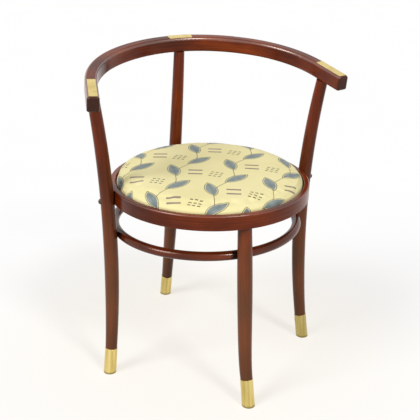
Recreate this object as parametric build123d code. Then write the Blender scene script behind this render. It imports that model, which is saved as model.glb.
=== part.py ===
from build123d import *
import math
import os

# Bentwood armchair in millimetres, +Z up, floor at Z = 0, the sitter faces -Y.
# Left and right are as seen from the front, so left is at -X.
# The origin lies on the floor, midway between the front and the back foot.

# Feet
foot_reach = 289.0
side_foot_reach = 253.5
side_foot_forward = 49.5

# Seat ring, bent from one strip with a ledge cut round its inside
seat_forward = 29.5
ring_outer_radius = 229.0
ring_width = 34.0
ring_bottom_z = 417.0
ring_height = 33.8
rim_width = 12.5
ledge_depth = 15.0
ring_top_round = 3.5
ring_edge_round = 1.5

# Arm rail: a back arc, two tighter shoulder arcs and two straight arms that flare out
rail_back_y = 183.0
rail_back_z = 720.0
rail_tilt = 9.8
rail_back_radius = 300.0
rail_back_half_turn = 34.0
rail_shoulder_radius = 242.0
rail_arm_flare = 11.5
rail_arm_length = 92.0
rail_upright_setback = 69.0
rail_width = 27.0
rail_height = 35.0
rail_top_round = 7.0
rail_edge_round = 4.5
rail_end_round = 5.5

# Brass plates let into the top of the rail
plate_width = 18.5
plate_thickness = 2.0
plate_proud = 0.2
plate_corner = 1.5
end_plate_length = 86.0
end_plate_margin = 5.0
back_plate_length = 58.0
plate_names = ("left", "right", "back")

# Legs: the left, right and back ones run on past the seat to the rail
leg_belly_diameter = 32.8
leg_belly_z = 280.0
leg_foot_diameter = 27.8
leg_top_diameter = 25.2
front_belly_diameter = 34.0
front_top_diameter = 31.0
taper_power = 1.6
leg_sections = 6
leg_let_in = 1.2
front_leg_inset = 22.0
front_knee_reach = 260.5
front_knee_z = 113.0
front_knee_radius = 440.0

# Round tenons
rail_tenon_diameter = 15.0
rail_tenon_length = 19.0
front_tenon_diameter = 18.0
front_tenon_length = 14.0
tenon_relief = 1.0

# Brass sabots
sabot_length = 61.0
sabot_top_diameter = 29.0
sabot_bottom_diameter = 29.4
sabot_wall = 1.2
sabot_floor = 2.0
sabot_rim_round = 0.4
sabot_shoulder_gap = 0.3
sabot_pin_diameter = 1.6
sabot_pin_head = 3.6
sabot_pin_head_height = 0.7
sabot_pin_length = 10.0
sabot_pin_height = 46.0

# Stretcher hoop between the legs, under the seat
hoop_z = 341.0
hoop_diameter = 21.0
hoop_let_in = 0.8
screw_shank = 4.5
screw_head = 8.0
screw_head_height = 3.0
screw_counterbore = 6.0
screw_reach = 16.0

# Bolts through the legs and the ring
bolt_shank = 6.0
bolt_head = 13.0
bolt_head_height = 6.5
bolt_spot_depth = 1.5
bolt_end = 2.0
washer_diameter = 16.0
washer_thickness = 1.6
nut_across_flats = 10.0
nut_height = 5.0
nut_spot_depth = 1.0
nut_spot_diameter = 20.0

# Drop-in seat
seat_gap = 3.5
cover_thickness = 1.2
cover_hem_margin = 6.0
cover_crown_height = 24.5
cover_shoulder_height = 15.0
cover_shoulder_radius = 16.0
cover_draw_in = 2.4
cover_lean = 1.4
cover_fold_radius = 3.0
board_thickness = 8.0
board_gap = 0.8
board_edge_round = 4.0
tack_count = 12
tack_ledge_gap = 2.0
tack_head = 8.0
tack_head_height = 0.9
tack_shank = 1.8
tack_length = 7.0

# Clearances
glue_gap = 0.1
soft_gap = 0.3

# Places, heights and radii that follow from the sizes above
side_foot_y = -side_foot_forward
seat_centre_y = -seat_forward
ring_top_z = ring_bottom_z + ring_height
ledge_z = ring_top_z - ledge_depth
ring_inner_radius = ring_outer_radius - ring_width
rim_inner_radius = ring_outer_radius - rim_width
bolt_z = (ring_bottom_z + ledge_z) / 2
seat_axis = Axis((0, seat_centre_y, 0), (0, 0, 1))

# The rail's own plane: its origin is the middle of the back, X runs to the right
rail_slope = math.radians(rail_tilt)
rail_plane = Plane(
    origin=(0, rail_back_y, rail_back_z),
    x_dir=(1, 0, 0),
    z_dir=(0, -math.sin(rail_slope), math.cos(rail_slope)),
)
rail_underside = rail_plane.offset(-rail_height / 2)


def rail_half(side):
    """Middle line of half the rail, from the middle of the back to an arm's end."""
    shoulder_turn = 90 - rail_arm_flare - rail_back_half_turn
    back = JernArc((0, 0), (side, 0), rail_back_radius, -side * rail_back_half_turn)
    shoulder = JernArc(back @ 1, back % 1, rail_shoulder_radius, -side * shoulder_turn)
    arm = Line(shoulder @ 1, shoulder @ 1 + (shoulder % 1) * rail_arm_length)
    return [back, shoulder, arm]


right_half = rail_half(1)
left_half = rail_half(-1)
arms = {"left": left_half[-1], "right": right_half[-1]}
rail_line = Wire(left_half[::-1] + right_half)

upright_station = 1 - rail_upright_setback / rail_arm_length
right_upright = rail_plane.from_local_coords(arms["right"] @ upright_station)
left_upright = rail_plane.from_local_coords(arms["left"] @ upright_station)
back_upright = rail_plane.origin


def leg_diameter(z):
    """Thickness of a long leg: fullest at the belly, tapering up and down."""
    if z > leg_belly_z:
        span = (z - leg_belly_z) / (rail_back_z - leg_belly_z)
        return leg_belly_diameter - (leg_belly_diameter - leg_top_diameter) * span**taper_power
    span = (leg_belly_z - z) / (leg_belly_z - sabot_length)
    return leg_belly_diameter - (leg_belly_diameter - leg_foot_diameter) * span**taper_power


def front_diameter(z):
    """Thickness of the front leg, which ends under the ring."""
    if z > leg_belly_z:
        span = (z - leg_belly_z) / (ring_bottom_z - leg_belly_z)
        return front_belly_diameter - (front_belly_diameter - front_top_diameter) * span**taper_power
    span = (leg_belly_z - z) / (leg_belly_z - sabot_length)
    return front_belly_diameter - (front_belly_diameter - leg_foot_diameter) * span**taper_power


# Middle lines of the legs, from the floor up
leg_ring_distance = ring_outer_radius + leg_diameter(bolt_z) / 2 - leg_let_in
right_path = ThreePointArc(
    Vector(side_foot_reach, side_foot_y, 0),
    Vector(leg_ring_distance, seat_centre_y, bolt_z),
    right_upright,
)
left_path = ThreePointArc(
    Vector(-side_foot_reach, side_foot_y, 0),
    Vector(-leg_ring_distance, seat_centre_y, bolt_z),
    left_upright,
)
back_path = ThreePointArc(
    Vector(0, foot_reach, 0),
    Vector(0, seat_centre_y + leg_ring_distance, bolt_z),
    back_upright,
)
front_path = FilletPolyline(
    Vector(0, -foot_reach, 0),
    Vector(0, -front_knee_reach, front_knee_z),
    Vector(0, seat_centre_y - ring_outer_radius + front_leg_inset, ring_bottom_z),
    radius=front_knee_radius,
)
leg_paths = {"left": left_path, "right": right_path, "back": back_path, "front": front_path}


def point_on(path, station):
    return path.position_at(station, position_mode=PositionMode.LENGTH)


def direction_on(path, station):
    return path.tangent_at(station, position_mode=PositionMode.LENGTH).normalized()


def station_at(path, z):
    """Length along a path at which it reaches a height."""
    low = 0.0
    high = path.length
    for _ in range(40):
        middle = (low + high) / 2
        if point_on(path, middle).Z < z:
            low = middle
        else:
            high = middle
    return (low + high) / 2


def rod_between(start, end, diameter):
    """Straight round bar from one point to another."""
    run = end - start
    return extrude(Plane(origin=start, z_dir=run) * Circle(diameter / 2), amount=run.length)


def above(z):
    """Everything over a height, as a block to intersect with."""
    size = 4 * foot_reach
    return Pos(0, 0, z + size / 2) * Box(size, size, size)


def tapered_rod(path, start, end, diameter_at):
    """Round rod along a path, lofted through circles of changing size."""
    sections = []
    for index in range(leg_sections + 1):
        station = start + (end - start) * index / leg_sections
        centre = point_on(path, station)
        section_plane = Plane(origin=centre, z_dir=direction_on(path, station))
        sections.append(section_plane * Circle(diameter_at(centre.Z) / 2))
    return loft(sections)


def foot_axis(path):
    """Floor point of a leg and the direction of its sabot."""
    bottom = point_on(path, 0)
    return bottom, (point_on(path, sabot_length) - bottom).normalized()


def sabot_blank(path, bottom_diameter, top_diameter, length):
    """Straight cone on the foot's axis, reaching below the floor for a level cut."""
    bottom, up = foot_axis(path)
    below = sabot_bottom_diameter
    flare = (top_diameter - bottom_diameter) / length
    base = Plane(origin=bottom - up * below, z_dir=up)
    top = Plane(origin=bottom + up * length, z_dir=up)
    return loft([base * Circle((bottom_diameter - flare * below) / 2), top * Circle(top_diameter / 2)])


def pin_frame(path):
    """Plane on the sabot's inner side, facing the middle of the chair."""
    bottom, up = foot_axis(path)
    centre = bottom + up * sabot_pin_height
    flare = (sabot_top_diameter - sabot_bottom_diameter) / sabot_length
    surface = (sabot_bottom_diameter + flare * sabot_pin_height) / 2
    inward = Vector(-bottom.X, -bottom.Y, 0)
    inward = (inward - up * inward.dot(up)).normalized()
    return Plane(origin=centre + inward * surface, z_dir=inward)


def sabot_pin(path):
    frame = pin_frame(path)
    head = extrude(frame * Circle(sabot_pin_head / 2), amount=sabot_pin_head_height)
    shank = extrude(frame * Circle(sabot_pin_diameter / 2), amount=-sabot_pin_length)
    return head + shank


def sabot_pin_hole(path):
    frame = pin_frame(path)
    return extrude(frame * Circle(sabot_pin_diameter / 2 + glue_gap), amount=-sabot_pin_length - tenon_relief)


def sabot(path):
    """Closed brass cup with a level bottom."""
    outside = sabot_blank(path, sabot_bottom_diameter, sabot_top_diameter, sabot_length) & above(0)
    rim = outside.edges().sort_by(Axis.Z)[-1]
    outside = fillet(rim, sabot_rim_round)
    cup_bottom = sabot_bottom_diameter - 2 * sabot_wall
    cup_top = sabot_top_diameter - 2 * sabot_wall
    hollow = sabot_blank(path, cup_bottom, cup_top, sabot_length) & above(sabot_floor)
    head_seat = extrude(pin_frame(path) * Circle(sabot_pin_head / 2 + glue_gap), amount=sabot_pin_head)
    return outside - hollow - head_seat - sabot_pin_hole(path)


def spigot(path):
    """Turned-down foot of a leg inside its sabot."""
    fit = 2 * (sabot_wall + glue_gap)
    length = sabot_length + 2 * sabot_shoulder_gap
    cone = sabot_blank(path, sabot_bottom_diameter - fit, sabot_top_diameter - fit, length)
    return (cone & above(sabot_floor + glue_gap)) - sabot_pin_hole(path)


# Stretcher hoop: a near-round oval that reaches all four legs
right_at_hoop = point_on(right_path, station_at(right_path, hoop_z))
back_at_hoop = point_on(back_path, station_at(back_path, hoop_z))
front_at_hoop = point_on(front_path, station_at(front_path, hoop_z))
left_at_hoop = Vector(-right_at_hoop.X, right_at_hoop.Y, hoop_z)
hoop_front_y = front_at_hoop.Y + front_diameter(hoop_z) / 2 - hoop_let_in
hoop_back_y = back_at_hoop.Y - leg_diameter(hoop_z) / 2 + hoop_let_in
hoop_side_x = right_at_hoop.X - leg_diameter(hoop_z) / 2 + hoop_let_in
hoop_centre = Vector(0, (hoop_front_y + hoop_back_y) / 2, hoop_z)
hoop_offset = right_at_hoop.Y - hoop_centre.Y
hoop_half_depth = (hoop_back_y - hoop_front_y - hoop_diameter) / 2
hoop_half_width = math.hypot(hoop_side_x, hoop_offset) - hoop_diameter / 2


def hoop_line():
    """Four tangent arcs that meet at 45 degrees and make the oval."""
    shift = (hoop_half_width - hoop_half_depth) / (2 - math.sqrt(2))
    plane = Plane(origin=hoop_centre)
    side_radius = hoop_half_width - shift
    end_radius = hoop_half_depth + shift
    arcs = [
        CenterArc((shift, 0), side_radius, -45, 90),
        CenterArc((0, -shift), end_radius, 45, 90),
        CenterArc((-shift, 0), side_radius, 135, 90),
        CenterArc((0, shift), end_radius, 225, 90),
    ]
    return plane * Wire(arcs)


hoop_path = hoop_line()


def hoop_tube(diameter):
    start = hoop_path.position_at(0)
    section = Plane(origin=start, z_dir=hoop_path.tangent_at(0)) * Circle(diameter / 2)
    return sweep(section, path=hoop_path)


def hoop_screw_frame(leg_point, diameter):
    """Inner face of the hoop at a leg, with Z towards the leg."""
    outward = (leg_point - hoop_centre).normalized()
    inner_face = leg_point - outward * (diameter / 2 - hoop_let_in + hoop_diameter)
    return Plane(origin=inner_face, z_dir=outward)


hoop_frames = {
    "left": hoop_screw_frame(left_at_hoop, leg_diameter(hoop_z)),
    "right": hoop_screw_frame(right_at_hoop, leg_diameter(hoop_z)),
    "back": hoop_screw_frame(back_at_hoop, leg_diameter(hoop_z)),
    "front": hoop_screw_frame(front_at_hoop, front_diameter(hoop_z)),
}
screw_tip = hoop_diameter + screw_reach


def hoop_screw(frame):
    seat = frame.offset(screw_counterbore)
    head = extrude(seat * Circle(screw_head / 2), amount=-screw_head_height)
    shank = extrude(seat * Circle(screw_shank / 2), amount=screw_tip - screw_counterbore)
    return head + shank


def hoop_screw_hole(frame):
    """Hole for the shank, with the counterbore that sinks the head."""
    entry = frame.offset(-screw_head)
    sink = extrude(entry * Circle(screw_head / 2 + glue_gap), amount=screw_head + screw_counterbore)
    depth = screw_head + screw_tip + tenon_relief
    return sink + extrude(entry * Circle(screw_shank / 2 + glue_gap), amount=depth)


def stretcher_hoop():
    return hoop_tube(hoop_diameter) - [hoop_screw_hole(frame) for frame in hoop_frames.values()]


# Bolts: Z of each frame points out from the seat's axis, with its origin on that axis
bolt_centre = Vector(0, seat_centre_y, bolt_z)
bolt_frames = {
    "left": Plane(origin=bolt_centre, z_dir=(-1, 0, 0)),
    "right": Plane(origin=bolt_centre, z_dir=(1, 0, 0)),
    "back": Plane(origin=bolt_centre, z_dir=(0, 1, 0)),
}
bolt_head_seat = leg_ring_distance + leg_diameter(bolt_z) / 2 - bolt_spot_depth
nut_seat = ring_inner_radius + nut_spot_depth
bolt_tip = nut_seat - washer_thickness - nut_height - bolt_end


def leg_bolt(frame):
    """Coach bolt with a domed head on the outside of the leg."""
    chord = bolt_head / 2
    dome_radius = (chord**2 + bolt_head_height**2) / (2 * bolt_head_height)
    dome_centre = frame.offset(bolt_head_seat + bolt_head_height - dome_radius)
    dome = dome_centre.location * Sphere(dome_radius)
    column = extrude(frame.offset(bolt_head_seat) * Circle(chord + dome_radius), amount=2 * dome_radius)
    shank = extrude(frame.offset(bolt_tip) * Circle(bolt_shank / 2), amount=bolt_head_seat - bolt_tip)
    return (dome & column) + shank


def bolt_hole(frame):
    run = bolt_head_seat - bolt_tip
    return extrude(frame.offset(bolt_tip) * Circle(bolt_shank / 2 + glue_gap), amount=run)


def bolt_head_recess(frame):
    return extrude(frame.offset(bolt_head_seat) * Circle(bolt_head / 2 + glue_gap), amount=leg_belly_diameter)


def nut_recess(frame):
    start = nut_seat - ring_width
    return extrude(frame.offset(start) * Circle(nut_spot_diameter / 2), amount=ring_width)


def leg_washer(frame):
    ring = Circle(washer_diameter / 2) - Circle(bolt_shank / 2 + glue_gap)
    return extrude(frame.offset(nut_seat) * ring, amount=-washer_thickness)


def leg_nut(frame):
    outline = RegularPolygon(nut_across_flats / 2, 6, major_radius=False) - Circle(bolt_shank / 2 + glue_gap)
    return extrude(frame.offset(nut_seat - washer_thickness) * outline, amount=-nut_height)


def ring_cylinder(radius, bottom, top):
    plane = Plane(origin=(0, seat_centre_y, bottom))
    return extrude(plane * Circle(radius), amount=top - bottom)


def long_leg(name):
    """One bent rod from the sabot to the rail, with its tenon and seats."""
    path = leg_paths[name]
    end = path.length
    rod = tapered_rod(path, sabot_length + sabot_shoulder_gap, end, leg_diameter)
    rod = split(rod, bisect_by=rail_underside, keep=Keep.BOTTOM)
    top = point_on(path, end)
    along = direction_on(path, end)
    half_rail = rail_height / 2
    root = top - along * (half_rail + rail_tenon_length)
    rod += rod_between(root, top + along * (rail_tenon_length - half_rail), rail_tenon_diameter)
    rod += spigot(path)
    rod -= ring_cylinder(ring_outer_radius + glue_gap, ring_bottom_z - glue_gap, ring_top_z + glue_gap)
    rod -= hoop_tube(hoop_diameter + 2 * glue_gap)
    rod -= bolt_hole(bolt_frames[name])
    rod -= bolt_head_recess(bolt_frames[name])
    rod -= hoop_screw_hole(hoop_frames[name])
    return rod


def rail_socket(path):
    top = point_on(path, path.length)
    along = direction_on(path, path.length)
    half_rail = rail_height / 2
    deepest = top + along * (rail_tenon_length + tenon_relief - half_rail)
    return rod_between(top - along * rail_height, deepest, rail_tenon_diameter + 2 * glue_gap)


def front_tenon(length, diameter):
    top = point_on(front_path, front_path.length)
    along = direction_on(front_path, front_path.length)
    return rod_between(top - along * length, top + along * length, diameter)


def front_leg():
    """Short leg with a knee near the floor, tenoned into the ring from below."""
    end = front_path.length
    top = point_on(front_path, end)
    along = direction_on(front_path, end)
    rod = tapered_rod(front_path, sabot_length + sabot_shoulder_gap, end, front_diameter)
    rod += rod_between(top, top + along * front_tenon_length, front_top_diameter)
    rod -= above(ring_bottom_z)
    rod += front_tenon(front_tenon_length, front_tenon_diameter)
    rod += spigot(front_path)
    rod -= hoop_tube(hoop_diameter + 2 * glue_gap)
    rod -= hoop_screw_hole(hoop_frames["front"])
    return rod


def seat_ring():
    """Ring with rounded outer edges, a ledge for the seat and its joints."""
    outline = Polyline(
        (ring_inner_radius, ring_bottom_z),
        (ring_outer_radius, ring_bottom_z),
        (ring_outer_radius, ring_top_z),
        (rim_inner_radius, ring_top_z),
        (rim_inner_radius, ledge_z),
        (ring_inner_radius, ledge_z),
        close=True,
    )
    section = make_face(outline)
    corners = section.vertices()
    top_outer = corners.sort_by_distance((ring_outer_radius, ring_top_z, 0))[0]
    section = fillet(top_outer, ring_top_round)
    softened = [
        (ring_inner_radius, ring_bottom_z),
        (ring_outer_radius, ring_bottom_z),
        (rim_inner_radius, ring_top_z),
        (ring_inner_radius, ledge_z),
    ]
    for radius, z in softened:
        corner = section.vertices().sort_by_distance((radius, z, 0))[0]
        section = fillet(corner, ring_edge_round)
    upright = Plane(origin=(0, seat_centre_y, 0), x_dir=(1, 0, 0), z_dir=(0, -1, 0))
    ring = revolve(upright * section, axis=seat_axis)
    for frame in bolt_frames.values():
        ring -= bolt_hole(frame)
        ring -= nut_recess(frame)
    ring -= front_tenon(front_tenon_length + tenon_relief, front_tenon_diameter + 2 * glue_gap)
    return ring


def rail_strip(line, section):
    """Sweep a section along a line of the rail's plane; the section's X points up."""
    start = Plane(origin=line @ 0, x_dir=(0, 0, 1), z_dir=line % 0)
    return sweep(start * section, path=line)


def plate_line(name, grow):
    """Middle line of a plate, made longer at both ends by a clearance."""
    if name == "back":
        half_angle = math.degrees((back_plate_length / 2 + grow) / rail_back_radius)
        return CenterArc((0, -rail_back_radius), rail_back_radius, 90 - half_angle, 2 * half_angle)
    arm = arms[name]
    along = arm % 1
    last = arm @ 1 - along * (end_plate_margin - grow)
    return Line(last - along * (end_plate_length + 2 * grow), last)


def rail_plate(name, grow):
    """Brass plate, or its recess when it grows by a clearance."""
    raised = plate_proud if grow == 0 else plate_thickness
    section = Rectangle(plate_thickness + raised, plate_width + 2 * grow)
    middle = rail_height / 2 + (raised - plate_thickness) / 2
    block = rail_strip(plate_line(name, grow), Pos(middle, 0) * section)
    return fillet(block.edges().filter_by(Axis.Z), plate_corner + grow)


def rail_section():
    """Section of the rail, X up, with fuller rounding on its top edges."""
    section = Rectangle(rail_height, rail_width)
    section = fillet(section.vertices().group_by(Axis.X)[-1], rail_top_round)
    return fillet(section.vertices().group_by(Axis.X)[0], rail_edge_round)


def arm_rail():
    """Bent rail with rounded ends, plate recesses and sockets for the legs."""
    rail = rail_strip(rail_line, rail_section())
    for arm in arms.values():
        end_face = rail.faces().sort_by_distance(arm @ 1)[0]
        rail = fillet(end_face.edges(), rail_end_round)
    for name in plate_names:
        rail -= rail_plate(name, glue_gap)
    rail = rail_plane.location * rail
    for path in (left_path, right_path, back_path):
        rail -= rail_socket(path)
    return rail


# Drop-in seat: the cover is turned under the board, which rests on the ledge
seat_radius = rim_inner_radius - seat_gap
cover_bottom_z = ledge_z + soft_gap
board_bottom_z = cover_bottom_z + cover_thickness + glue_gap
board_radius = seat_radius - cover_draw_in - cover_thickness - board_gap
tack_radius = ring_inner_radius - tack_ledge_gap - tack_head / 2
hem_radius = tack_radius - tack_head / 2 - cover_hem_margin


def seat_form(inset):
    """Crowned seat with drawn-in sides and a fuller back, made smaller all round by an inset."""
    low = -2 * ledge_depth
    waist = seat_radius - cover_draw_in - inset
    rim = (seat_radius - inset, cover_shoulder_height - inset)
    crown = (0, cover_crown_height - inset)
    rise = cover_crown_height - cover_shoulder_height
    crown_radius = (rim[0] ** 2 + rise**2) / (2 * rise)
    side_middle = (seat_radius - inset - cover_draw_in / 4, (low + rim[1]) / 2)
    outline = [
        Line((0, low), (waist, low)),
        ThreePointArc((waist, low), side_middle, rim),
        RadiusArc(rim, crown, -crown_radius),
        Line(crown, (0, low)),
    ]
    section = make_face(outline)
    shoulder = section.vertices().sort_by_distance((rim[0], rim[1], 0))[0]
    section = fillet(shoulder, cover_shoulder_radius - inset)
    form = revolve(Plane.XZ * section, axis=Axis.Z)
    form = Pos(0, seat_centre_y, ring_top_z) * Rot(cover_lean, 0, 0) * form
    form = form & above(cover_bottom_z + inset)
    fold = form.faces().sort_by(Axis.Z)[0].edges()
    return fillet(fold, cover_fold_radius)


def seat_cover():
    opening = ring_cylinder(hem_radius, cover_bottom_z - cover_thickness, board_bottom_z)
    return seat_form(0) - seat_form(cover_thickness) - opening


def seat_board():
    board = ring_cylinder(board_radius, board_bottom_z, board_bottom_z + board_thickness)
    board = fillet(board.edges().sort_by(Axis.Z)[0], board_edge_round)
    for frame in tack_frames():
        board -= extrude(frame * Circle(tack_shank / 2 + glue_gap), amount=tack_length + tenon_relief)
    return board


def seat_padding():
    filling = seat_form(cover_thickness + soft_gap)
    return filling & above(board_bottom_z + board_thickness + soft_gap)


def tack_frames():
    """Underside of the cover's hem, one frame for each tack, Z up."""
    frames = []
    for index in range(tack_count):
        turn = 2 * math.pi * (index + 0.5) / tack_count
        across = tack_radius * math.cos(turn)
        along = tack_radius * math.sin(turn)
        place = (across, seat_centre_y + along, cover_bottom_z)
        frames.append(Plane(origin=place))
    return frames


def cover_tack(frame):
    head = extrude(frame * Circle(tack_head / 2), amount=-tack_head_height)
    return head + extrude(frame * Circle(tack_shank / 2), amount=tack_length)


def cover_with_tack_holes():
    cover = seat_cover()
    for frame in tack_frames():
        cover -= extrude(frame * Circle(tack_shank / 2 + glue_gap), amount=cover_thickness + glue_gap)
    return cover


def group(solids):
    return Compound(children=list(solids))


parts = {
    "arm_rail": arm_rail(),
    "left_leg": long_leg("left"),
    "right_leg": long_leg("right"),
    "back_leg": long_leg("back"),
    "front_leg": front_leg(),
    "seat_ring": seat_ring(),
    "stretcher_hoop": stretcher_hoop(),
    "leg_bolts": group(leg_bolt(frame) for frame in bolt_frames.values()),
    "leg_bolt_washers": group(leg_washer(frame) for frame in bolt_frames.values()),
    "leg_bolt_nuts": group(leg_nut(frame) for frame in bolt_frames.values()),
    "hoop_screws": group(hoop_screw(frame) for frame in hoop_frames.values()),
    "sabot_pins": group(sabot_pin(path) for path in leg_paths.values()),
    "seat_board": seat_board(),
    "seat_padding": seat_padding(),
    "seat_cover": cover_with_tack_holes(),
    "cover_tacks": group(cover_tack(frame) for frame in tack_frames()),
}
for name, path in leg_paths.items():
    parts[name + "_sabot"] = sabot(path)
for name in plate_names:
    parts[name + "_rail_plate"] = rail_plane.location * rail_plate(name, 0)

os.makedirs("parts", exist_ok=True)
for name, part in parts.items():
    export_step(part, os.path.join("parts", name + ".step"))
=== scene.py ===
"""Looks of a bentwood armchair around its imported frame: metres, +Z up, the sitter faces -Y."""

import math
from functools import partial

import bmesh
import bpy
import numpy as np
from mathutils import Matrix, Vector


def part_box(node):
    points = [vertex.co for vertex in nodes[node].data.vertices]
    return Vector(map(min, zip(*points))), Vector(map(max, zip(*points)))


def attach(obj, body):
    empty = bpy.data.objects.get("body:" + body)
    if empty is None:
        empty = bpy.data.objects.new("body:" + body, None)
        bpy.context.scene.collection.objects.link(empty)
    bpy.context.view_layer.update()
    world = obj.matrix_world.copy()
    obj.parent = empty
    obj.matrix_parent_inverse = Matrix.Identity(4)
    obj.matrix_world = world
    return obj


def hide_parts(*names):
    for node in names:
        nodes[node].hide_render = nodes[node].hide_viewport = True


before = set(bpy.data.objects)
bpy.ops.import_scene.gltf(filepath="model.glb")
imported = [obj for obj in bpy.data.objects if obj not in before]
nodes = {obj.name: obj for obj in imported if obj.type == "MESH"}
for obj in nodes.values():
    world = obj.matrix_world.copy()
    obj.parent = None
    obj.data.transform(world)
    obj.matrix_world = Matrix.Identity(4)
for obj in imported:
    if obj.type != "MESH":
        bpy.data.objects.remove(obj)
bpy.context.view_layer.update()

# Camera at the photograph's viewing angle: degrees and metres, with lens and sensor in millimetres
camera_azimuth = -21.70
camera_elevation = 22.32
camera_roll = 1.06
camera_distance = 2.144
camera_target = Vector((0.0039, -0.0249, 0.3695))
camera_lens = 78.52
sensor_width = 36.0

# Bends that the grain follows: where a leg stands at the floor, the ring and the rail, with those heights
bend_heights = (0.0, 0.427, 0.682)
side_leg_bend = (0.2535, 0.2435, 0.2735)
back_leg_bend = (0.289, 0.2140, 0.187)
front_leg_bend = (-0.289, -0.2365, -0.222)
rail_tilt = 9.8
arm_flare = 11.5

# Grain of the wood: noise per metre, in two directions across it and then along it
streak_scale = (260, 260, 7)
fleck_scale = (1300, 1300, 150)
tone_scale = (14, 14, 6)
streak_share = 0.32
tone_share = 0.68
pore_range = (0.60, 0.72)
pore_share = 0.30
pore_color = (48, 17, 7)

# Polish of the wood. A round edge is found by how far up its surface faces, from 0, level, to 1.
plain_gloss = 0.25
hoop_gloss = 0.40
# The hoop's stain is painted darker, as painted shade from the seat above it.
hoop_painted_shade = 0.06
wood_roughness = 0.15
streak_roughness = 0.08
edge_roughness = 0.10
edge_fades_in = (0.05, 0.35)
edge_fades_out = (0.75, 0.97)
rail_edge_coat = 0.7
coat_roughness = 0.2
polish_tint = (255, 238, 226)

# Painted light and shade on the wood: paler low on the legs as painted light, darker just over the sabots
# and where legs cross the hoop as painted shade
painted_light_full_below = 0.18
painted_light_none_above = 0.60
painted_light_share = 0.50
painted_light_color = (126, 82, 52)
foot_shade_full_below = 0.06
foot_shade_none_above = 0.17
foot_shade_share = 0.45
foot_shade_color = (58, 38, 22)
joint_shade_reach = 0.032
joint_shade_fade = 0.003
joint_shade_share = 0.85
joint_shade_color = (20, 9, 5)

# End grain of the rail's arms, darker partly as the end grain's own colour and partly as painted shade
end_grain_depth = 0.009
end_grain_and_shade_share = 0.80
end_grain_and_shade_color = (46, 31, 24)

# Brass: tarnish in patches per metre along x, y and z, on the sabots stretched into bands that are
# painted reflections, then how much painted shade each sabot gets, and grime at the floor
plate_tarnish = (45.0, 45.0, 45.0)
plate_contrast = 0.35
sabot_tarnish_and_reflection_scale = (120.0, 120.0, 6.0)
sabot_tarnish_and_reflection_contrast = 0.60
sabot_painted_shade = {"left": 0.0, "right": 0.50, "back": 0.15, "front": 0.12}
sabot_shade_color = (128, 116, 70)
scratch_scale = (2200, 2200, 160)
grime_height = 0.007
grime_share = 0.8
grime_color = (104, 90, 46)

# Seat cover: its section, its lean in degrees, and the cloth that swells over the stuffing
cover_sheet = 0.0012
cover_swell = 0.003
cover_shoulder = 0.014
cover_fold = 0.004
shoulder_share = 0.80
cover_lean = 1.4
hem_width = 0.036
voxel_size = 0.004
cloth_frames = 20
cloth_pressure = 4.0
cloth_stiffness = 40
cloth_bending = 2.0

# Steps of the cover's first mesh, round it and then along its section
round_steps = 128
underside_steps = 8
fold_steps = 4
shoulder_steps = 6
crown_steps = 14

# Printed repeat of the cover: vines with leaves, and between them groups of dashes and pairs of bars
repeat_width = 0.112
repeat_height = 0.156
print_turn = -38.0
line_width = 0.0016
edge_softness = 0.0005
vine_swing = 0.010
leaf_length = 0.064
leaf_width = 0.023
leaf_lean = 30.0
leaf_out_share = 0.56
outline_gap = 0.0024
midrib_share = 0.6
figure_out = 0.032
dash_rise = 0.006
dash_pitch = 0.011
dash_length = 0.0068
dash_width = 0.0036
dash_group_width = 0.031
dash_group_height = 0.033
bar_rise = 0.004
bar_turn = 16
bar_length = 0.032
bar_width = 0.0068
bar_offset = 0.011

# Weave of the cover, with painted shade between its threads
thread_pitch = 0.0011
thread_shadow_share = 0.10
thread_shadow_color = (205, 192, 140)
slub_scale = (900, 160, 300)

# Light: directions of the lamps, their spreads in degrees, and shares of the level at which a colour
# renders as it is written
left_lamp_toward = (-0.75, -0.20, 0.62)
left_lamp_spread = 26
left_lamp_share = 0.62
front_lamp_toward = (0.24, -0.84, 0.80)
front_lamp_spread = 14
front_lamp_share = 0.44
surround_share = 0.35

# Floor: nearly white where it shows, a little warmer near the chair, and darker where it only lights
floor_reach = 12.0
floor_drop = 0.0004
floor_glow = 0.70
warm_within = 0.2
plain_beyond = 0.8
warm_glow_color = (255, 250, 241)
plain_glow_color = (255, 254, 253)
lighting_color = (175, 173, 169)


def srgb(red, green, blue):
    """Screen colour, 0 to 255, as a linear colour with alpha."""
    linear = []
    for part in (red, green, blue):
        share = part / 255
        if share <= 0.04045:
            linear.append(share / 12.92)
        else:
            linear.append(((share + 0.055) / 1.055) ** 2.4)
    return (*linear, 1.0)


class Value:
    """A number that varies over a surface: arithmetic on it adds Math nodes."""

    def __init__(self, graph, socket):
        self.graph = graph
        self.socket = socket

    def __add__(self, other):
        return self.graph.math("ADD", self, other)

    def __sub__(self, other):
        return self.graph.math("SUBTRACT", self, other)

    def __rsub__(self, other):
        return self.graph.math("SUBTRACT", other, self)

    def __mul__(self, other):
        return self.graph.math("MULTIPLY", self, other)

    __radd__ = __add__
    __rmul__ = __mul__

    def absolute(self):
        return self.graph.math("ABSOLUTE", self)

    def repeat(self, period):
        """Place inside a repeat, measured from its middle."""
        return self.graph.math("FLOORED_MODULO", self, period) - period / 2


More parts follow.
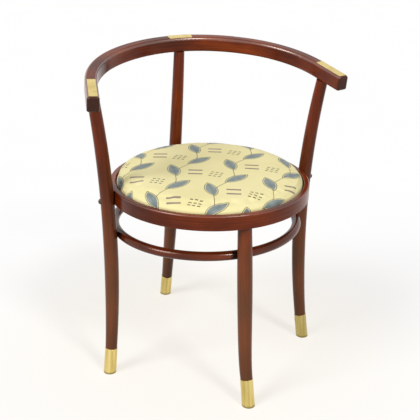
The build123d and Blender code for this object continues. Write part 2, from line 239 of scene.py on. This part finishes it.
class Graph:
    """Node tree of one material, with short calls for the nodes used here."""

    def __init__(self, name):
        self.material = bpy.data.materials.new(name)
        self.material.use_nodes = True
        self.tree = self.material.node_tree
        self.shader = self.tree.nodes["Principled BSDF"]
        self.place = self.add("ShaderNodeTexCoord").outputs["Object"]

    def add(self, kind, **settings):
        node = self.tree.nodes.new(kind)
        for name, value in settings.items():
            setattr(node, name, value)
        return node

    def feed(self, socket, value):
        """Set a socket to a number or colour, or link it to what varies."""
        if isinstance(value, Value):
            self.tree.links.new(value.socket, socket)
        elif isinstance(value, bpy.types.NodeSocket):
            self.tree.links.new(value, socket)
        else:
            socket.default_value = value

    def math(self, operation, *values):
        node = self.add("ShaderNodeMath", operation=operation)
        for socket, value in zip(node.inputs, values):
            self.feed(socket, value)
        return Value(self, node.outputs[0])

    def length(self, x, y):
        """Distance from the origin of a plane."""
        return self.math("SQRT", x * x + y * y)

    def split(self, vector):
        node = self.add("ShaderNodeSeparateXYZ")
        self.feed(node.inputs[0], vector)
        return [Value(self, output) for output in node.outputs]

    def join(self, x, y, z):
        node = self.add("ShaderNodeCombineXYZ")
        for socket, value in zip(node.inputs, (x, y, z)):
            self.feed(socket, value)
        return node.outputs[0]

    def stretch(self, vector, factors):
        node = self.add("ShaderNodeVectorMath", operation="MULTIPLY")
        self.feed(node.inputs[0], vector)
        node.inputs[1].default_value = factors
        return node.outputs[0]

    def noise(self, vector, scale, detail=3.0, roughness=0.5):
        """Noise of one scale, or of a scale for each axis, around 0.5."""
        if isinstance(scale, tuple):
            vector = self.stretch(vector, scale)
            scale = 1.0
        node = self.add("ShaderNodeTexNoise")
        self.feed(node.inputs["Vector"], vector)
        node.inputs["Scale"].default_value = scale
        node.inputs["Detail"].default_value = detail
        node.inputs["Roughness"].default_value = roughness
        return Value(self, node.outputs["Fac"])

    def fade(self, value, start, end, low=0.0, high=1.0):
        """Smooth step from low at start to high at end."""
        node = self.add("ShaderNodeMapRange", interpolation_type="SMOOTHSTEP")
        self.feed(node.inputs["Value"], value)
        node.inputs["From Min"].default_value = start
        node.inputs["From Max"].default_value = end
        node.inputs["To Min"].default_value = low
        node.inputs["To Max"].default_value = high
        return Value(self, node.outputs["Result"])

    def inside(self, distance):
        """1 where a signed distance is negative, with a soft edge."""
        return self.fade(distance, -edge_softness / 2, edge_softness / 2, 1.0, 0.0)

    def band(self, place, width):
        """1 within a width around the place 0, with soft edges."""
        return self.inside(place.absolute() - width / 2)

    def ramp(self, value, stops):
        node = self.add("ShaderNodeValToRGB")
        self.feed(node.inputs[0], value)
        elements = node.color_ramp.elements
        while len(elements) < len(stops):
            elements.new(1.0)
        for element, (position, color) in zip(elements, stops):
            element.position = position
            element.color = color
        return node.outputs[0]

    def mix(self, factor, first, second):
        node = self.add("ShaderNodeMix", data_type="RGBA")
        self.feed(node.inputs["Factor"], factor)
        self.feed(node.inputs[6], first)
        self.feed(node.inputs[7], second)
        return node.outputs[2]

    def bump(self, height, distance, strength):
        node = self.add("ShaderNodeBump")
        self.feed(node.inputs["Height"], height)
        node.inputs["Distance"].default_value = distance
        node.inputs["Strength"].default_value = strength
        self.feed(self.shader.inputs["Normal"], node.outputs[0])

    def set(self, **inputs):
        """Feed the shader's sockets, named with underscores for spaces."""
        for name, value in inputs.items():
            self.feed(self.shader.inputs[name.replace("_", " ")], value)


def parabola(places, heights):
    """Coefficients of the curve through three places at three heights."""
    return [float(part) for part in np.polyfit(heights, places, 2)]


def middle(values):
    """Midpoint between the least and the greatest value."""
    return (min(values) + max(values)) / 2


def leg_grain(graph, places, sideways):
    """Grain of a bent leg: two directions across it, then the one along it."""
    x, y, z = graph.split(graph.place)
    square, slope, start = parabola(places, bend_heights)
    bend = z * z * square + z * slope + start
    if sideways:
        return graph.join(x.absolute() - bend, y, z)
    return graph.join(x, y - bend, z)


def hoop_grain(graph, node, tilt=0.0, seam_in_front=False):
    """Grain that runs round a ring: across it, up it, then along it."""
    low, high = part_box(node)
    radius = (high.x - low.x) / 2
    centre_y = high.y - radius
    x, y, z = graph.split(graph.place)
    forward = y - centre_y if seam_in_front else centre_y - y
    angle = graph.math("ARCTAN2", x, forward)
    level = z - y * math.tan(math.radians(tilt))
    return graph.join(graph.length(x, forward), level, angle * radius)


def arm_ends(graph):
    """1 on the end grain of the rail's two arms, and 0 on the rest of the rail."""
    flare = math.radians(arm_flare)
    tilt = math.radians(rail_tilt)
    forward = math.cos(flare) * math.cos(tilt)
    downward = math.cos(flare) * math.sin(tilt)

    def reach(out, y, z):
        return out * math.sin(flare) - y * forward - z * downward

    spots = [vert.co for vert in nodes["arm_rail"].data.vertices]
    farthest = max(reach(abs(spot.x), spot.y, spot.z) for spot in spots)
    x, y, z = graph.split(graph.place)
    return graph.fade(reach(x.absolute(), y, z), farthest - end_grain_depth, farthest)


def leg_painted_light_and_shade(graph, color):
    """Colour of a leg with its stain made paler low down as painted light, and darker just over the sabot
    as painted shade.
    """
    height = graph.split(graph.place)[2]
    lower_light = graph.fade(height, painted_light_full_below, painted_light_none_above, 1.0, 0.0)
    foot_shade = graph.fade(height, foot_shade_full_below, foot_shade_none_above, 1.0, 0.0)
    color = graph.mix(lower_light * painted_light_share, color, srgb(*painted_light_color))
    return graph.mix(foot_shade * foot_shade_share, color, srgb(*foot_shade_color))


def painted_joint_shade(graph, color):
    """Colour of the hoop with painted shade in the corners where the legs cross it."""
    low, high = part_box("stretcher_hoop")
    x, y, _ = graph.split(graph.place)
    for side in sabot_painted_shade:
        near = [vert.co for vert in nodes[f"{side}_leg"].data.vertices if low.z < vert.co.z < high.z]
        across = x - middle([spot.x for spot in near])
        along = y - middle([spot.y for spot in near])
        distance = graph.length(across, along)
        contact_shade = graph.fade(distance, joint_shade_reach - joint_shade_fade, joint_shade_reach, 1.0, 0.0)
        color = graph.mix(contact_shade * joint_shade_share, color, srgb(*joint_shade_color))
    return color


def polished_edge(graph, tilt):
    """1 on the round edges of a top in a tilted plane, which hands have polished, and 0 beside them."""
    normal = graph.add("ShaderNodeNewGeometry").outputs["Normal"]
    _, y, z = graph.split(normal)
    level = z * math.cos(math.radians(tilt)) - y * math.sin(math.radians(tilt))
    return graph.fade(level, *edge_fades_in) * graph.fade(level, *edge_fades_out, 1.0, 0.0)


def stained_beech(
    name,
    make_grain,
    shade=0.0,
    gloss=plain_gloss,
    edge_tilt=None,
    edge_coat=0.0,
    make_ends=None,
    make_painted_light_and_shade=None,
):
    """Red-brown stained and polished beech: faint streaks, short flecks, dark end grain that is partly
    painted shade, and painted light and shade where asked.
    """
    graph = Graph(name)
    grain = make_grain(graph)
    streaks = graph.noise(grain, streak_scale, detail=4.0, roughness=0.6)
    flecks = graph.noise(grain, fleck_scale, detail=2.0)
    tone = graph.noise(grain, tone_scale, detail=3.0)
    # shade moves the stain to darker stops, as painted shade.
    wood = graph.ramp(
        streaks * streak_share + tone * tone_share - shade,
        [
            (0.30, srgb(50, 13, 1)),
            (0.45, srgb(86, 28, 3)),
            (0.56, srgb(114, 42, 6)),
            (0.70, srgb(148, 62, 14)),
        ],
    )
    pores = graph.fade(flecks, *pore_range)
    color = graph.mix(pores * pore_share, wood, srgb(*pore_color))
    # Painted light and shade laid over the stain, where asked.
    if make_painted_light_and_shade:
        color = make_painted_light_and_shade(graph, color)
    roughness = wood_roughness + streaks * streak_roughness
    if edge_tilt is not None:
        edge = polished_edge(graph, edge_tilt)
        if make_ends:
            ends = make_ends(graph)
            # The arms' end grain is painted darker, partly its own colour and partly painted shade.
            color = graph.mix(ends * end_grain_and_shade_share, color, srgb(*end_grain_and_shade_color))
            edge = edge * (1.0 - ends)
        gloss = gloss + edge * (1.0 - gloss)
        roughness = roughness + edge * edge_roughness
        if edge_coat:
            graph.set(Coat_Weight=edge * edge_coat, Coat_Roughness=coat_roughness)
    graph.set(
        Base_Color=color,
        Roughness=roughness,
        Specular_IOR_Level=gloss,
        Specular_Tint=srgb(*polish_tint),
    )
    graph.bump(streaks * 0.6 + flecks * 0.4, distance=0.0002, strength=0.06)
    return graph.material


def foot_grime(graph):
    """1 where the sabots touch the floor, fading out a little above it."""
    height = graph.split(graph.place)[2]
    return graph.fade(height, 0.0, grime_height, 1.0, 0.0)


def polished_brass(name, make_place, patch_scale, contrast, painted_shade_share=0.0, make_grime=None):
    """Polished brass with fine rubbing marks and darker tarnish in patches, or in bands along a sabot
    that are painted reflections, and painted shade where asked.
    """
    graph = Graph(name)
    place = make_place(graph)
    scratches = graph.noise(place, scratch_scale, detail=2.0)
    # On a sabot this noise runs in bands along the leg, painted reflections as well as tarnish.
    tarnish_and_reflection = graph.noise(place, patch_scale, detail=1.5)
    color = graph.ramp(
        0.5 + (tarnish_and_reflection - 0.5) * contrast,
        [
            (0.28, srgb(158, 140, 70)),
            (0.42, srgb(212, 189, 112)),
            (0.55, srgb(234, 211, 138)),
            (0.72, srgb(244, 227, 162)),
        ],
    )
    # Painted shade, darker on some sabots than on others.
    if painted_shade_share:
        color = graph.mix(painted_shade_share, color, srgb(*sabot_shade_color))
    if make_grime:
        color = graph.mix(make_grime(graph) * grime_share, color, srgb(*grime_color))
    graph.set(
        Base_Color=color,
        Metallic=1.0,
        Roughness=0.20 + tarnish_and_reflection * 0.10 + scratches * 0.08,
    )
    graph.bump(scratches, distance=0.00008, strength=0.3)
    return graph.material


def browned_steel(name):
    """Dark fastener steel, rubbed and uneven."""
    graph = Graph(name)
    patches = graph.noise(graph.place, 260.0, detail=4.0, roughness=0.65)
    color = graph.ramp(patches, [(0.35, srgb(48, 38, 34)), (0.65, srgb(104, 88, 78))])
    graph.set(Base_Color=color, Metallic=0.9, Roughness=0.34 + patches * 0.25)
    graph.bump(patches, distance=0.0002, strength=0.3)
    return graph.material


def plain_plywood(name):
    """Raw birch plywood: long pale grain on the faces."""
    graph = Graph(name)
    grain = graph.noise(graph.place, (6, 170, 170), detail=4.0, roughness=0.6)
    color = graph.ramp(
        grain,
        [(0.32, srgb(176, 140, 96)), (0.52, srgb(206, 173, 126)), (0.70, srgb(222, 194, 150))],
    )
    graph.set(Base_Color=color, Roughness=0.62 + grain * 0.15)
    graph.bump(grain, distance=0.0003, strength=0.3)
    return graph.material


def turned(x, y, degrees):
    """Plan coordinates in axes turned by an angle."""
    cosine = math.cos(math.radians(degrees))
    sine = math.sin(math.radians(degrees))
    return x * cosine + y * sine, y * cosine - x * sine


def leaf_distance(graph, x, y):
    """Signed distance to a pointed leaf that lies along y."""
    half_length = leaf_length / 2
    half_width = leaf_width / 2
    curve = (half_length**2 + half_width**2) / (2 * half_width)
    reach = x.absolute() + (curve - half_width)
    return graph.length(reach, y) - curve


def cloth_place(graph, centre, radius, shoulder_z):
    """Plan coordinates on the cover, from its middle, which run on down its sides."""
    x, y, z = graph.split(graph.place)
    x = x - centre.x
    y = y - centre.y
    shoulder = y * math.tan(math.radians(cover_lean)) + shoulder_z
    drop = graph.math("MAXIMUM", shoulder - z, 0.0)
    spread = drop * (1 / radius) + 1.0
    return x * spread, y * spread


def seat_print(graph, x, y):
    """Ground colour of the cover with vines, leaves, dashes and bars in half-drop columns."""
    across, along = turned(x, y, print_turn)
    column = graph.math("FLOOR", across * (1 / repeat_width))
    drop = graph.math("FLOORED_MODULO", column, 2.0) * (repeat_height / 2)
    u = across.repeat(repeat_width)
    v = (along + drop).repeat(repeat_height)

    blotches = graph.noise(graph.place, 9.0, detail=3.0)
    color = graph.ramp(blotches, [(0.3, srgb(233, 222, 161)), (0.7, srgb(241, 231, 175))])
    blue = graph.ramp(
        graph.noise(graph.place, 70.0, detail=3.0),
        [(0.35, srgb(112, 128, 132)), (0.65, srgb(138, 151, 152))],
    )
    olive = srgb(88, 82, 58)
    mauve = srgb(142, 126, 114)

    swing = graph.math("SINE", v * (2 * math.pi / repeat_height)) * vine_swing
    color = graph.mix(graph.band(u - swing, line_width), color, olive)

    leaf_out = math.sin(math.radians(leaf_lean)) * leaf_length * leaf_out_share
    for side in (1, -1):
        leaf_u = u - side * leaf_out
        leaf_v = v - side * repeat_height / 4
        leaf_x, leaf_y = turned(leaf_u, leaf_v, -side * leaf_lean)
        distance = leaf_distance(graph, leaf_x, leaf_y)
        leaf = graph.inside(distance)
        color = graph.mix(leaf, color, blue)
        midrib = graph.band(leaf_x, line_width) * leaf
        color = graph.mix(midrib * midrib_share, color, olive)
        color = graph.mix(graph.band(distance - outline_gap, line_width), color, olive)

    dash_u = u + figure_out
    dash_v = v - repeat_height / 4 - dash_rise
    group = graph.band(dash_u, dash_group_width) * graph.band(dash_v, dash_group_height)
    step_u = (dash_u + dash_pitch / 2).repeat(dash_pitch)
    step_v = (dash_v + dash_pitch / 2).repeat(dash_pitch)
    dash = graph.band(step_u, dash_length) * graph.band(step_v, dash_width)
    color = graph.mix(dash * group, color, olive)

    bar_x, bar_y = turned(u - figure_out, v + repeat_height / 4 - bar_rise, bar_turn)
    for offset in (-bar_offset, bar_offset):
        bar = graph.band(bar_x, bar_length) * graph.band(bar_y - offset, bar_width)
        color = graph.mix(bar, color, mauve)
    return color


def printed_cotton(name, centre, radius, shoulder_z):
    """Woven cotton: the print, the threads with painted shade between them, and a little fuzz."""
    graph = Graph(name)
    x, y = cloth_place(graph, centre, radius, shoulder_z)
    turns = 2 * math.pi / thread_pitch
    weave = graph.math("SINE", x * turns) * graph.math("SINE", y * turns)
    slubs = graph.noise(graph.place, slub_scale, detail=3.0)
    printed = seat_print(graph, x, y)
    # The weave is painted darker between the threads, as painted shade.
    color = graph.mix(graph.fade(weave, -1.0, 1.0) * thread_shadow_share, printed, srgb(*thread_shadow_color))
    graph.set(
        Base_Color=color,
        Roughness=0.82 + slubs * 0.12,
        Specular_IOR_Level=0.25,
        Sheen_Weight=0.15,
        Sheen_Roughness=0.5,
    )
    graph.bump(weave * 0.5 + slubs * 0.5, distance=0.00018, strength=0.5)
    return graph.material


def add_object(name, data):
    """New object in the scene around a mesh, lamp or camera."""
    thing = bpy.data.objects.new(name, data)
    bpy.context.scene.collection.objects.link(thing)
    return thing


def spin_profile(name, profile, centre):
    """Closed solid of revolution from (radius, height) pairs, axis end to axis end."""
    mesh = bpy.data.meshes.new(name)
    work = bmesh.new()
    rings = []
    for radius, height in profile:
        if radius == 0:
            rings.append([work.verts.new((centre.x, centre.y, height))])
            continue
        ring = []
        for index in range(round_steps):
            turn = 2 * math.pi * index / round_steps
            spot = (centre.x + radius * math.cos(turn), centre.y + radius * math.sin(turn), height)
            ring.append(work.verts.new(spot))
        rings.append(ring)
    for lower, upper in zip(rings, rings[1:]):
        for index in range(round_steps):
            following = (index + 1) % round_steps
            corners = [lower[index % len(lower)], lower[following % len(lower)]]
            corners += [upper[following % len(upper)], upper[index % len(upper)]]
            work.faces.new(list(dict.fromkeys(corners)))
    bmesh.ops.recalc_face_normals(work, faces=work.faces)
    work.to_mesh(mesh)
    work.free()
    return add_object(name, mesh)


def arc_points(centre, radius, start, end, steps):
    """Points of a circle arc in the profile's plane, angles in degrees."""
    points = []
    for index in range(steps + 1):
        turn = math.radians(start + (end - start) * index / steps)
        points.append((centre[0] + radius * math.cos(turn), centre[1] + radius * math.sin(turn)))
    return points


def cover_profile(radius, bottom, crown, shoulder_z):
    """Crowned seat in section, from the middle of its underside to its crown."""
    fold_centre = (radius - cover_fold, bottom + cover_fold)
    edge_centre = (radius - cover_shoulder, shoulder_z - cover_shoulder)
    rise = crown - shoulder_z
    dome_radius = (edge_centre[0] ** 2 + rise**2) / (2 * rise)
    dome_centre = (0, crown - dome_radius)
    dome_start = 90 - math.degrees(math.asin(edge_centre[0] / dome_radius))
    points = [(0, bottom)]
    points += [(fold_centre[0] * step / underside_steps, bottom) for step in range(1, underside_steps)]
    points += arc_points(fold_centre, cover_fold, -90, 0, fold_steps)
    points += arc_points(edge_centre, cover_shoulder, 0, dome_start, shoulder_steps)
    points += arc_points(dome_centre, dome_radius, dome_start, 90, crown_steps)[1:-1]
    points.append((0, crown))
    return points


def apply_modifiers(piece):
    """Turn a piece into the mesh that its modifiers give."""
    bpy.context.view_layer.update()
    graph = bpy.context.evaluated_depsgraph_get()
    result = bpy.data.meshes.new_from_object(piece.evaluated_get(graph))
    piece.modifiers.clear()
    piece.data = result


def voxel_remesh(piece):
    """Give a piece an even mesh, a little smoothed."""
    remesh = piece.modifiers.new("even_quads", "REMESH")
    remesh.mode = "VOXEL"
    remesh.voxel_size = voxel_size
    apply_modifiers(piece)
    smooth = piece.modifiers.new("even_out", "SMOOTH")
    smooth.factor = 0.5
    smooth.iterations = 2
    apply_modifiers(piece)


def inflate(piece, hold_below):
    """Let the cover swell as stuffed cloth, with all under a height held still."""
    before = np.empty(len(piece.data.vertices) * 3)
    piece.data.vertices.foreach_get("co", before)
    before = before.reshape(-1, 3)
    held = piece.vertex_groups.new(name="held")
    low = [index for index, spot in enumerate(before) if spot[2] < hold_below]
    held.add(low, 1.0, "REPLACE")
    cloth = piece.modifiers.new("stuffed", "CLOTH")
    cloth.settings.vertex_group_mass = "held"
    cloth.settings.use_pressure = True
    cloth.settings.uniform_pressure_force = cloth_pressure
    cloth.settings.tension_stiffness = cloth_stiffness
    cloth.settings.compression_stiffness = cloth_stiffness
    cloth.settings.bending_stiffness = cloth_bending
    cloth.settings.effector_weights.gravity = 0
    cloth.collision_settings.use_collision = False
    scene = bpy.context.scene
    for step in range(1, cloth_frames + 1):
        scene.frame_set(step)
    apply_modifiers(piece)
    scene.frame_set(1)
    after = np.empty(len(before) * 3)
    piece.data.vertices.foreach_get("co", after)
    move = after.reshape(-1, 3) - before
    length = np.linalg.norm(move, axis=1, keepdims=True)
    capped = move * np.minimum(1.0, cover_swell / np.maximum(length, 1e-9))
    piece.data.vertices.foreach_set("co", (before + capped).ravel())
    piece.vertex_groups.clear()


def open_underside(piece, centre, radius, height):
    """Cut the round opening inside the hem, under a height."""
    work = bmesh.new()
    work.from_mesh(piece.data)
    inner = []
    for vert in work.verts:
        if vert.co.z < height and math.hypot(vert.co.x - centre.x, vert.co.y - centre.y) < radius:
            inner.append(vert)
    bmesh.ops.delete(work, geom=inner, context="VERTS")
    rim = [vert for vert in work.verts if vert.is_boundary]
    for vert in rim:
        away = Vector((vert.co.x - centre.x, vert.co.y - centre.y, 0)).normalized()
        vert.co.x = centre.x + away.x * radius
        vert.co.y = centre.y + away.y * radius
    work.to_mesh(piece.data)
    work.free()


def seat_cover():
    """Fabric drawn over the stuffing and turned under the board."""
    low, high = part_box("seat_cover")
    ring_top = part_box("seat_ring")[1].z
    centre = (low + high) / 2
    radius = (high.x - low.x) / 2
    crown = high.z - cover_swell
    shoulder_z = ring_top + (crown - ring_top) * shoulder_share
    piece = spin_profile("seat_upholstery", cover_profile(radius, low.z, crown, shoulder_z), centre)
    slope = math.tan(math.radians(cover_lean))
    for vert in piece.data.vertices:
        share = min(1.0, (vert.co.z - low.z) / (ring_top - low.z))
        vert.co.z += slope * share * (vert.co.y - centre.y)
    voxel_remesh(piece)
    inflate(piece, ring_top + cover_swell)
    open_underside(piece, centre, radius - hem_width, low.z + voxel_size)
    sheet = piece.modifiers.new("cloth_thickness", "SOLIDIFY")
    sheet.thickness = cover_sheet
    sheet.offset = -1
    smooth = piece.modifiers.new("finer", "SUBSURF")
    smooth.levels = 1
    smooth.render_levels = 1
    apply_modifiers(piece)
    for face in piece.data.polygons:
        face.use_smooth = True
    piece.data.materials.clear()
    piece.data.materials.append(printed_cotton("printed_cotton", centre, radius, shoulder_z))
    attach(piece, "seat")
    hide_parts("seat_cover", "seat_padding")


def dress(node, material):
    """Give a CAD node its finished material."""
    data = nodes[node].data
    data.materials.clear()
    data.materials.append(material)


def dress_legs():
    """Finish each leg and its sabot, with the grain and the tarnish along the leg's bend; on the sabot
    the tarnish runs in bands that are painted reflections.
    """
    side_grain = partial(leg_grain, places=side_leg_bend, sideways=True)
    back_grain = partial(leg_grain, places=back_leg_bend, sideways=False)
    front_grain = partial(leg_grain, places=front_leg_bend, sideways=False)
    grains = {"left": side_grain, "right": side_grain, "back": back_grain, "front": front_grain}
    for side, grain in grains.items():
        dress(f"{side}_leg", stained_beech(f"beech_{side}_leg", grain, make_painted_light_and_shade=leg_painted_light_and_shade))
        brass = polished_brass(
            f"brass_{side}_sabot",
            grain,
            sabot_tarnish_and_reflection_scale,
            sabot_tarnish_and_reflection_contrast,
            sabot_painted_shade[side],
            foot_grime,
        )
        dress(f"{side}_sabot", brass)


def dress_bent_rings():
    """Finish the rail, the seat ring and the hoop, with the grain round each."""
    rail = stained_beech(
        "beech_rail",
        partial(hoop_grain, node="arm_rail", tilt=rail_tilt, seam_in_front=True),
        edge_tilt=rail_tilt,
        edge_coat=rail_edge_coat,
        make_ends=arm_ends,
    )
    ring = stained_beech("beech_ring", partial(hoop_grain, node="seat_ring"), edge_tilt=0.0)
    hoop = stained_beech(
        "beech_hoop",
        partial(hoop_grain, node="stretcher_hoop"),
        # The hoop gets painted shade from the seat, and painted shade where the legs cross it.
        shade=hoop_painted_shade,
        gloss=hoop_gloss,
        make_painted_light_and_shade=painted_joint_shade,
    )
    dress("arm_rail", rail)
    dress("seat_ring", ring)
    dress("stretcher_hoop", hoop)


def dress_small_pieces():
    """Finish the seat's board, the plates, the pins and the fasteners."""
    dress("seat_board", plain_plywood("plywood"))
    flat_brass = polished_brass("flat_brass", lambda graph: graph.place, plate_tarnish, plate_contrast)
    steel = browned_steel("browned_steel")
    for node in nodes:
        if "plate" in node or "pins" in node:
            dress(node, flat_brass)
        elif "bolt" in node or "screw" in node or "tack" in node:
            dress(node, steel)


def shown(tree):
    """1 for rays that show what they meet in the picture, and 0 for rays that only light."""
    rays = tree.nodes.new("ShaderNodeLightPath")
    result = rays.outputs["Is Camera Ray"]
    for name in ("Is Glossy Ray", "Is Transmission Ray"):
        largest = tree.nodes.new("ShaderNodeMath")
        largest.operation = "MAXIMUM"
        tree.links.new(result, largest.inputs[0])
        tree.links.new(rays.outputs[name], largest.inputs[1])
        result = largest.outputs[0]
    return result


def pale_floor():
    """Wide plain floor, near white, that keeps soft shadows."""
    mesh = bpy.data.meshes.new("floor")
    corners = [
        (-floor_reach, -floor_reach, 0),
        (floor_reach, -floor_reach, 0),
        (floor_reach, floor_reach, 0),
        (-floor_reach, floor_reach, 0),
    ]
    mesh.from_pydata(corners, [], [(0, 1, 2, 3)])
    floor = add_object("floor", mesh)
    floor.location.z = -floor_drop
    graph = Graph("pale_floor")
    shade = graph.noise(graph.place, 1.6, detail=2.0)
    pale = graph.ramp(shade, [(0.3, srgb(249, 250, 252)), (0.7, srgb(252, 253, 254))])
    color = graph.mix(shown(graph.tree), srgb(*lighting_color), pale)
    graph.set(Base_Color=color, Roughness=0.7, Specular_IOR_Level=0.2)
    x, y, _ = graph.split(graph.place)
    warm = graph.fade(graph.length(x, y), warm_within, plain_beyond, 1.0, 0.0)
    glow = graph.add("ShaderNodeEmission")
    glow_color = graph.mix(warm, srgb(*plain_glow_color), srgb(*warm_glow_color))
    graph.feed(glow.inputs["Color"], glow_color)
    cover = graph.add("ShaderNodeMixShader")
    output = graph.tree.nodes["Material Output"]
    graph.feed(cover.inputs["Fac"], graph.math("MULTIPLY", shown(graph.tree), floor_glow))
    graph.feed(cover.inputs[1], graph.shader.outputs["BSDF"])
    graph.feed(cover.inputs[2], glow.outputs["Emission"])
    graph.feed(output.inputs["Surface"], cover.outputs["Shader"])
    mesh.materials.append(graph.material)


def far_lamp(name, toward, spread, share):
    """Lamp far off in a direction, which lights a surface that faces it to a share of the level."""
    data = bpy.data.lights.new(name, "SUN")
    data.angle = math.radians(spread)
    data.energy = share * math.pi
    lamp = add_object(name, data)
    lamp.rotation_mode = "QUATERNION"
    lamp.rotation_quaternion = Vector(toward).to_track_quat("Z", "Y")


def studio_light():
    """A broad lamp on the left, a smaller one in front and a pale surround."""
    far_lamp("lamp_left", left_lamp_toward, left_lamp_spread, left_lamp_share)
    far_lamp("lamp_front", front_lamp_toward, front_lamp_spread, front_lamp_share)
    world = bpy.data.worlds.new("studio")
    bpy.context.scene.world = world
    world.use_nodes = True
    tree = world.node_tree
    surround = tree.nodes["Background"]
    surround.inputs["Color"].default_value = (1.0, 1.0, 1.0, 1.0)
    strength = tree.nodes.new("ShaderNodeMapRange")
    strength.inputs["To Min"].default_value = surround_share
    strength.inputs["To Max"].default_value = 1.0
    tree.links.new(shown(tree), strength.inputs["Value"])
    tree.links.new(strength.outputs["Result"], surround.inputs["Strength"])


def place_camera():
    """Camera that looks at the chair from its azimuth and elevation, with a slight roll."""
    data = bpy.data.cameras.new("camera")
    data.lens = camera_lens
    data.sensor_width = sensor_width
    camera = add_object("camera", data)
    azimuth = math.radians(camera_azimuth)
    elevation = math.radians(camera_elevation)
    roll = math.radians(camera_roll)
    level = math.cos(elevation)
    back = Vector((math.sin(azimuth) * level, -math.cos(azimuth) * level, math.sin(elevation)))
    right = Vector((math.cos(azimuth), math.sin(azimuth), 0))
    up = back.cross(right)
    x_axis = right * math.cos(roll) + up * math.sin(roll)
    y_axis = up * math.cos(roll) - right * math.sin(roll)
    axes = Matrix((x_axis, y_axis, back)).transposed().to_4x4()
    camera.matrix_world = Matrix.Translation(camera_target + back * camera_distance) @ axes
    bpy.context.scene.camera = camera


dress_legs()
dress_bent_rings()
dress_small_pieces()
seat_cover()
pale_floor()
studio_light()
place_camera()
bpy.context.scene.view_settings.view_transform = "Standard"
